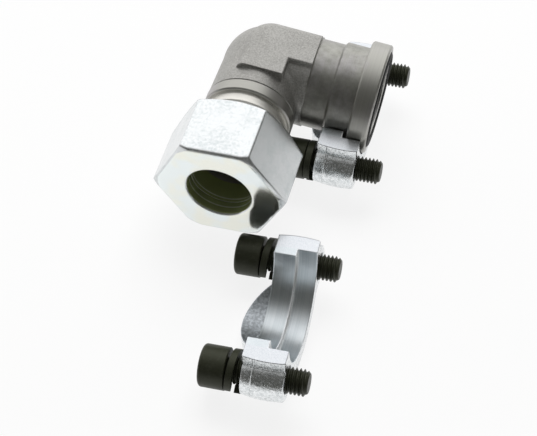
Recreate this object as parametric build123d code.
from build123d import *
from math import asin, cos, degrees, radians, sin, sqrt, tan
import os

# Hydraulic flange elbow, 90 degrees: a forged elbow with a one inch flange head on one leg and a cutting ring
# connection for a 25 mm tube on the other, with two flange halves, their cap screws and spring washers.
# Millimetres. Origin at the middle of the flange face, +X out of the flange, the tube leg along -Y, +Z up.

# Flange head and neck, one inch standard pressure series
head_diameter = 44.45
head_thickness = 8.0
head_edge = 0.6
neck_diameter = 38.1
neck_length = 10.4
bolt_spacing_long = 52.37
bolt_spacing_short = 26.19

# Seal in the flange face
seal_section = 3.53
seal_groove_diameter = 39.7
seal_groove_width = 4.4
seal_groove_depth = 2.8
seal_clearance = 0.03

# Forged elbow
tube_axis_distance = 47.2
bend_diameter = 35.0
flange_leg_diameter = 36.8
tube_leg_diameter = 34.6
tube_leg_draft = 1.3
waist_diameter = 35.8
waist_length = 9.2
waist_step = 0.9
bend_blend = 3.0
pad_height = 18.9
pad_outside = 8.7
pad_inside = 10.0
pad_near = 7.5
pad_far = 10.1
pad_bend = 10.0
pad_reach = 16.0
pad_shoulder = 3.4
pad_edge = 0.7
flow_bore = 20.0

# Tube leg: turned collar, thread run-out, thread and 24 degree cone
collar_start = 22.3
collar_length = 5.5
collar_diameter = 36.0
collar_chamfer = 0.6
runout_diameter = 32.6
runout_length = 3.6
thread_pitch_diameter = 34.7
thread_chamfer = 1.2
leg_length = 54.5
cone_room = 2.9
cone_half_angle = 12.0
tube_diameter = 25.0
tube_fit = 0.1
tube_stop_depth = 13.0

# Union nut
nut_across_flats = 46.0
nut_length = 28.0
nut_reach = 11.0
nut_turn_at_rest = 8.6
nut_bore_room = 0.4
nut_bore_chamfer = 0.8
nut_front_wall = 6.0
nut_cone_diameter = 32.8
nut_front_circle = 47.6
nut_front_bevel = 0.9
nut_back_circle = 42.3
nut_corner_slope = 30.0
nut_entry_chamfer = 1.2
thread_clearance = 0.07

# Cutting ring between the cone of the leg and the cone of the nut
ring_collar_diameter = 31.4
ring_clearance = 0.12
ring_shoulder_gap = 0.6
ring_nose_length = 4.5

# Flange halves
half_thickness = 16.0
half_hub_thickness = 24.0
half_hub_width = 30.0
half_depth = 29.4
half_bore_clearance = 0.4
half_step_depth = 7.5
half_trough_relief = 1.0
half_parting = 6.5
half_draft = 7.0
half_back_round = 5.0
half_edge_round = 0.8
split_face_overhang = 2.715
lug_radius = 8.8
lug_draft = 5.0
lug_blend = 4.0
lug_overrun = 2.0
bolt_clearance = 0.5

# Cap screws and spring washers
screw_diameter = 10.0
screw_length = 30.0
screw_end_chamfer = 1.2
screw_head_diameter = 16.0
screw_head_height = 10.0
screw_head_round = 1.2
socket_across_flats = 8.0
socket_depth = 5.0
washer_section = 2.5
washer_outer = 16.0
washer_bore = 10.4
washer_wrap = 348.0
washer_split_angle = 205.0
washer_clearance = 0.05

# Where the halves lie: the middle of the split face on the port side, then the turns about X, Y and Z.
# The screws sit loosely in them, heads to the back, each on a spring washer that still stands open.
fitted_half_place = (-2.4, 0.0, -0.45)
fitted_half_turns = (0.0, -4.4, 0.8)
fitted_screw_lean = 3.0
fitted_washer_stand = 3.6
loose_half_before_nut = 36.0
loose_half_place = (-3.7, -(leg_length + nut_reach + loose_half_before_nut), -0.25)
loose_half_turns = (-1.8, -7.2, 1.8)
loose_screw_lean = 0.8
loose_washer_stand = 5.9

# Values worked out from the sizes above
head_radius = head_diameter / 2
neck_radius = neck_diameter / 2
bend_radius = bend_diameter / 2
flange_leg_radius = flange_leg_diameter / 2
tube_leg_radius = tube_leg_diameter / 2
waist_radius = waist_diameter / 2
collar_radius = collar_diameter / 2
thread_radius = thread_pitch_diameter / 2
tube_socket_radius = tube_diameter / 2 + tube_fit
cone_mouth = tube_diameter + cone_room
nut_bore = tube_diameter + nut_bore_room
neck_start = head_thickness + neck_length
waist_start = neck_start + waist_length
collar_end = collar_start + collar_length
thread_start = collar_end + runout_length
nut_front = leg_length + nut_reach
bolt_y = bolt_spacing_long / 2
split_face_width = bolt_spacing_long + 2 * split_face_overhang
bolt_z = -bolt_spacing_short / 2
half_small_bore = neck_radius + half_bore_clearance
half_large_bore = head_radius + half_bore_clearance
half_trough = half_small_bore + half_trough_relief
bolt_hole_radius = screw_diameter / 2 + bolt_clearance
cone_slope = tan(radians(cone_half_angle))

tube_leg_frame = Plane(origin=(-tube_axis_distance, 0, 0), x_dir=(1, 0, 0), z_dir=(0, -1, 0))


def turned_on_flange_axis(points):
    """A solid of revolution about X, from (place along X, radius) points."""
    return revolve(make_face(Polyline(*points, close=True)), Axis.X)


def turned_on_tube_axis(points):
    """A solid of revolution about the tube axis, from (distance along the leg, radius) points."""
    profile = [(radius, 0, along) for along, radius in points]
    return tube_leg_frame * revolve(make_face(Polyline(*profile, close=True)), Axis.Z)


def forged_bend():
    """Flange leg with its ball end, and the tube leg blended into its side, both drafted towards the bend."""
    ball_end = -tube_axis_distance - bend_radius
    outline = Line((ball_end, 0), (-waist_start, 0))
    outline += Line((-waist_start, 0), (-waist_start, flange_leg_radius))
    outline += Line((-waist_start, flange_leg_radius), (-tube_axis_distance, bend_radius))
    outline += RadiusArc((-tube_axis_distance, bend_radius), (ball_end, 0), -bend_radius)
    flange_leg = revolve(make_face(outline), Axis.X)
    tube_leg = tube_leg_frame * extrude(Circle(tube_leg_radius), collar_start, taper=-tube_leg_draft)
    bend = flange_leg + tube_leg
    meeting = bend.edges().filter_by(GeomType.BSPLINE)
    return bend.fillet(bend_blend, meeting)


def forged_pads():
    """The flat lands above and below: a strip along each leg, with a round shoulder outside the bend."""
    along_flange = tube_axis_distance - waist_start
    bend_x = pad_bend - pad_outside
    bend_y = pad_far - pad_bend
    outline = Polyline(
        (-pad_outside, bend_y),
        (-pad_outside, -pad_reach),
        (pad_inside, -pad_reach),
        (pad_inside, -pad_near),
        (along_flange, -pad_near),
        (along_flange, pad_far),
        (bend_x, pad_far),
    )
    outline += CenterArc((bend_x, bend_y), pad_bend, 90, 90)
    pads = extrude(make_face(outline), pad_height, both=True)
    pads = pads.fillet(pad_shoulder, pads.edges().filter_by(GeomType.CIRCLE))
    rims = pads.edges().filter_by(Axis.Z, reverse=True)
    rims = rims.filter_by_position(Axis.X, pad_inside / 2, along_flange)
    rims = rims.filter_by_position(Axis.Y, -pad_reach, -pad_near / 2)
    return Pos(-tube_axis_distance, 0, 0) * pads.fillet(pad_edge, rims)


def elbow_body():
    """The forging, its turned flange head and tube end, and everything that is bored into it."""
    flange_end = turned_on_flange_axis([
        (-waist_start, 0),
        (-waist_start, waist_radius),
        (-neck_start, waist_radius),
        (-neck_start + waist_step, neck_radius),
        (-head_thickness, neck_radius),
        (-head_thickness, head_radius - head_edge),
        (-head_thickness + head_edge, head_radius),
        (-head_edge, head_radius),
        (0, head_radius - head_edge),
        (0, 0),
    ])
    tube_end = turned_on_tube_axis([
        (collar_start, 0),
        (collar_start, collar_radius - collar_chamfer),
        (collar_start + collar_chamfer, collar_radius),
        (collar_end - collar_chamfer, collar_radius),
        (collar_end, collar_radius - collar_chamfer),
        (collar_end, runout_diameter / 2),
        (thread_start, runout_diameter / 2),
        (thread_start + thread_chamfer, thread_radius),
        (leg_length - thread_chamfer, thread_radius),
        (leg_length, thread_radius - thread_chamfer),
        (leg_length, 0),
    ])
    body = forged_bend() + forged_pads() + flange_end + tube_end

    cone_depth = (cone_mouth / 2 - tube_socket_radius) / cone_slope
    tube_passage = turned_on_tube_axis([
        (0, 0),
        (0, flow_bore / 2),
        (leg_length - tube_stop_depth, flow_bore / 2),
        (leg_length - tube_stop_depth, tube_socket_radius),
        (leg_length - cone_depth, tube_socket_radius),
        (leg_length, cone_mouth / 2),
        (leg_length, 0),
    ])
    flange_passage = turned_on_flange_axis([
        (-tube_axis_distance, 0),
        (-tube_axis_distance, flow_bore / 2),
        (0, flow_bore / 2),
        (0, 0),
    ])
    bend_passage = Pos(-tube_axis_distance, 0, 0) * Sphere(flow_bore / 2)
    groove_inner = seal_groove_diameter / 2 - seal_groove_width
    seal_groove = turned_on_flange_axis([
        (-seal_groove_depth, groove_inner),
        (-seal_groove_depth, seal_groove_diameter / 2),
        (0, seal_groove_diameter / 2),
        (0, groove_inner),
    ])
    return body - tube_passage - flange_passage - bend_passage - seal_groove


def flange_seal():
    """Round rubber ring against the outer wall of its groove, standing a little proud of the face."""
    middle = seal_groove_diameter / 2 - seal_section / 2 - seal_clearance
    ring = Torus(middle, seal_section / 2)
    depth = -seal_groove_depth + seal_section / 2 + seal_clearance
    return Pos(depth, 0, 0) * Rot(0, 90, 0) * ring


def union_nut():
    """Hexagon nut with turned corners, a pressing cone behind its front wall and a bored thread."""
    hexagon = RegularPolygon(nut_across_flats / 2, 6, major_radius=False)
    to_back = nut_front - nut_length
    plain_length = nut_length - nut_front_bevel
    blank = extrude(hexagon, plain_length)
    blank += Pos(0, 0, plain_length) * extrude(hexagon, nut_front_bevel, taper=45)
    blank = tube_leg_frame * Pos(0, 0, to_back) * Rot(0, 0, nut_turn_at_rest) * blank
    corner_radius = nut_across_flats / 2 / cos(radians(30))
    slope = tan(radians(nut_corner_slope))
    front_run = (corner_radius - nut_front_circle / 2) * slope
    back_run = (corner_radius - nut_back_circle / 2) * slope
    corner_turning = turned_on_tube_axis([
        (to_back, 0),
        (to_back, nut_back_circle / 2),
        (to_back + back_run, corner_radius),
        (nut_front - front_run, corner_radius),
        (nut_front, nut_front_circle / 2),
        (nut_front, 0),
    ])
    bore_radius = nut_bore / 2
    cone_start = nut_front - nut_front_wall
    cone_end = cone_start - (nut_cone_diameter / 2 - bore_radius)
    female_radius = thread_radius + thread_clearance
    bored = turned_on_tube_axis([
        (nut_front, 0),
        (nut_front, bore_radius + nut_bore_chamfer),
        (nut_front - nut_bore_chamfer, bore_radius),
        (cone_start, bore_radius),
        (cone_end, nut_cone_diameter / 2),
        (cone_end, female_radius),
        (to_back + nut_entry_chamfer, female_radius),
        (to_back, female_radius + nut_entry_chamfer),
        (to_back, 0),
    ])
    return (blank & corner_turning) - bored


def cutting_ring():
    """Ring with a 45 degree back for the nut, a collar, and a tapered nose in the cone of the leg."""
    bore_radius = tube_socket_radius
    back = nut_front - nut_front_wall - ring_clearance * sqrt(2)
    back_lip = nut_bore / 2 - bore_radius
    collar_radius_here = ring_collar_diameter / 2
    shoulder = leg_length + ring_shoulder_gap
    nose_base = cone_mouth / 2 - ring_clearance
    nose_end = leg_length - ring_nose_length
    nose_tip = nose_base - ring_nose_length * cone_slope
    return turned_on_tube_axis([
        (back, bore_radius),
        (back, bore_radius + back_lip),
        (back - (collar_radius_here - nut_bore / 2), collar_radius_here),
        (shoulder, collar_radius_here),
        (shoulder, nose_base),
        (leg_length, nose_base),
        (nose_end, nose_tip),
        (nose_end, bore_radius),
    ])


def touching_point(start, centre, radius):
    """Where a line from the start touches the circle on its right."""
    way = centre - start
    lean = degrees(asin(radius / way.length))
    reach = sqrt(way.length**2 - radius**2)
    return start + way.rotate(Axis.Z, -lean).normalized() * reach


def half_hub():
    """Lower half of the drafted hub: as thick as the lugs beside them, and bulging out behind between them."""
    back_radius = half_depth - half_hub_thickness * tan(radians(half_draft))
    hub = turned_on_flange_axis([
        (0, 0),
        (0, half_depth),
        (-half_hub_thickness, back_radius),
        (-half_hub_thickness, 0),
    ])
    back_edge = hub.edges().filter_by(GeomType.CIRCLE).sort_by(Axis.X)[0]
    hub = hub.fillet(half_back_round, [back_edge])
    overhang = half_hub_thickness - half_thickness
    bulge_radius = ((half_hub_width / 2) ** 2 + overhang**2) / (2 * overhang)
    plan = Pos(-half_thickness / 2, 0) * Rectangle(half_thickness, 2 * bolt_y)
    plan += Pos(bulge_radius - half_hub_thickness, 0) * Circle(bulge_radius)
    return hub & extrude(plan, -half_depth)


def lug_section(depth, inset):
    """Outline of the lug at a depth behind the port face: an upright side that stands on a round boss."""
    bolt = Vector(bolt_y, bolt_z)
    boss_radius = lug_radius - inset
    side = split_face_width / 2 - inset
    inner_top = Vector(half_small_bore, lug_overrun)
    outer_top = Vector(side, lug_overrun)
    outer_foot = Vector(side, bolt_z + sqrt(boss_radius**2 - (side - bolt_y) ** 2))
    inner_touch = touching_point(inner_top, bolt, boss_radius)
    lowest = bolt + Vector(1, -1).normalized() * boss_radius
    outline = Polyline(inner_touch, inner_top, outer_top, outer_foot)
    outline += ThreePointArc(outer_foot, lowest, inner_touch)
    return Plane.YZ.offset(-depth) * make_face(outline)


def half_lug():
    """Bolt lug on the far side, fullest at the parting plane and cut off at the split face."""
    draft = tan(radians(lug_draft))
    front = lug_section(0, half_parting * draft)
    fullest = lug_section(half_parting, 0)
    back = lug_section(half_thickness, (half_thickness - half_parting) * draft)
    lug = loft([front, fullest, back])
    below = Pos(-half_thickness / 2, 0, -half_depth) * Box(half_thickness, 4 * bolt_y, 2 * half_depth)
    return lug & below


def flange_half():
    """One half of the split flange, with its port face at X = 0 and its split face at Z = 0."""
    lug = half_lug()
    forged = half_hub() + lug + mirror(lug, Plane.XZ)
    meeting = forged.edges().filter_by(GeomType.BSPLINE)
    meeting = meeting.filter_by_position(Axis.X, -half_thickness, 0, inclusive=(False, False))
    meeting = meeting.filter_by_position(Axis.Z, -half_depth, bolt_z)
    forged = forged.fillet(lug_blend, meeting)
    port_rim = forged.edges().group_by(Axis.X)[-1]
    port_rim = port_rim.filter_by_position(Axis.Z, -half_depth, -half_edge_round)
    forged = forged.fillet(half_edge_round, port_rim)
    stepped_bore = turned_on_flange_axis([
        (0, 0),
        (0, half_large_bore),
        (-half_step_depth, half_large_bore),
        (-half_step_depth, half_small_bore),
        (-half_thickness, half_small_bore),
        (-half_thickness, half_trough),
        (-half_hub_thickness, half_trough),
        (-half_hub_thickness, 0),
    ])
    hole_plan = Pos(-bolt_y, bolt_z) * Circle(bolt_hole_radius) + Pos(bolt_y, bolt_z) * Circle(bolt_hole_radius)
    holes = extrude(Plane.YZ * hole_plan, -half_thickness)
    return forged - stepped_bore - holes


def cap_screw():
    """Socket head screw along X: its head behind X = 0, its plain shank in front."""
    screw_radius = screw_diameter / 2
    head = turned_on_flange_axis([
        (-screw_head_height, 0),
        (-screw_head_height, screw_head_diameter / 2),
        (0, screw_head_diameter / 2),
        (0, 0),
    ])
    top_edge = head.edges().filter_by(GeomType.CIRCLE).sort_by(Axis.X)[0]
    head = head.fillet(screw_head_round, [top_edge])
    shank = turned_on_flange_axis([
        (0, 0),
        (0, screw_radius),
        (screw_length - screw_end_chamfer, screw_radius),
        (screw_length, screw_radius - screw_end_chamfer),
        (screw_length, 0),
    ])
    hexagon = RegularPolygon(socket_across_flats / 2, 6, major_radius=False)
    socket = extrude(Plane.YZ.offset(-screw_head_height) * hexagon, socket_depth)
    return head + shank - socket


def spring_washer(stand):
    """One left-hand turn of square bar, split on the lower side, from X = 0 to the height it stands open."""
    bar_width = (washer_outer - washer_bore) / 2
    middle_radius = (washer_outer + washer_bore) / 4
    rise = stand - washer_section
    turn = Helix(rise * 360 / washer_wrap, rise, middle_radius, lefthand=True)
    bar = Plane.XZ * Pos(middle_radius, 0) * Rectangle(bar_width, washer_section)
    ring = sweep(bar, path=turn, is_frenet=True)
    frame = Plane(origin=(washer_section / 2, 0, 0), x_dir=(0, 1, 0), z_dir=(1, 0, 0))
    return frame * Rot(0, 0, washer_split_angle - (360 - washer_wrap) / 2) * ring


fitted_frame = Pos(*fitted_half_place) * Rot(*fitted_half_turns)
loose_frame = Pos(*loose_half_place) * Rot(*loose_half_turns)
half = flange_half()
screw = cap_screw()

nodes = {
    "elbow_body": elbow_body(),
    "flange_seal": flange_seal(),
    "union_nut": union_nut(),
    "cutting_ring": cutting_ring(),
    "fitted_flange_half": fitted_frame * half,
    "loose_flange_half": loose_frame * half,
}
sets = [
    ("fitted", fitted_frame, fitted_screw_lean, fitted_washer_stand),
    ("loose", loose_frame, loose_screw_lean, loose_washer_stand),
]
for set_name, frame, lean, stand in sets:
    lean_gap = washer_outer / 2 * sin(radians(lean)) + washer_clearance
    head_back = half_thickness / 2 + lean_gap + stand
    washer = spring_washer(stand)
    for side_name, side in (("front", -1), ("back", 1)):
        hole_middle = Pos(-half_thickness / 2, side * bolt_y, bolt_z)
        place = frame * hole_middle * Rot(0, -lean, 0) * Pos(-head_back, 0, 0)
        nodes[f"{set_name}_screw_{side_name}"] = place * screw
        nodes[f"{set_name}_washer_{side_name}"] = place * washer

os.makedirs("parts", exist_ok=True)
for name, shape in nodes.items():
    export_step(shape, f"parts/{name}.step")
    print(name, round(shape.volume), "mm3")
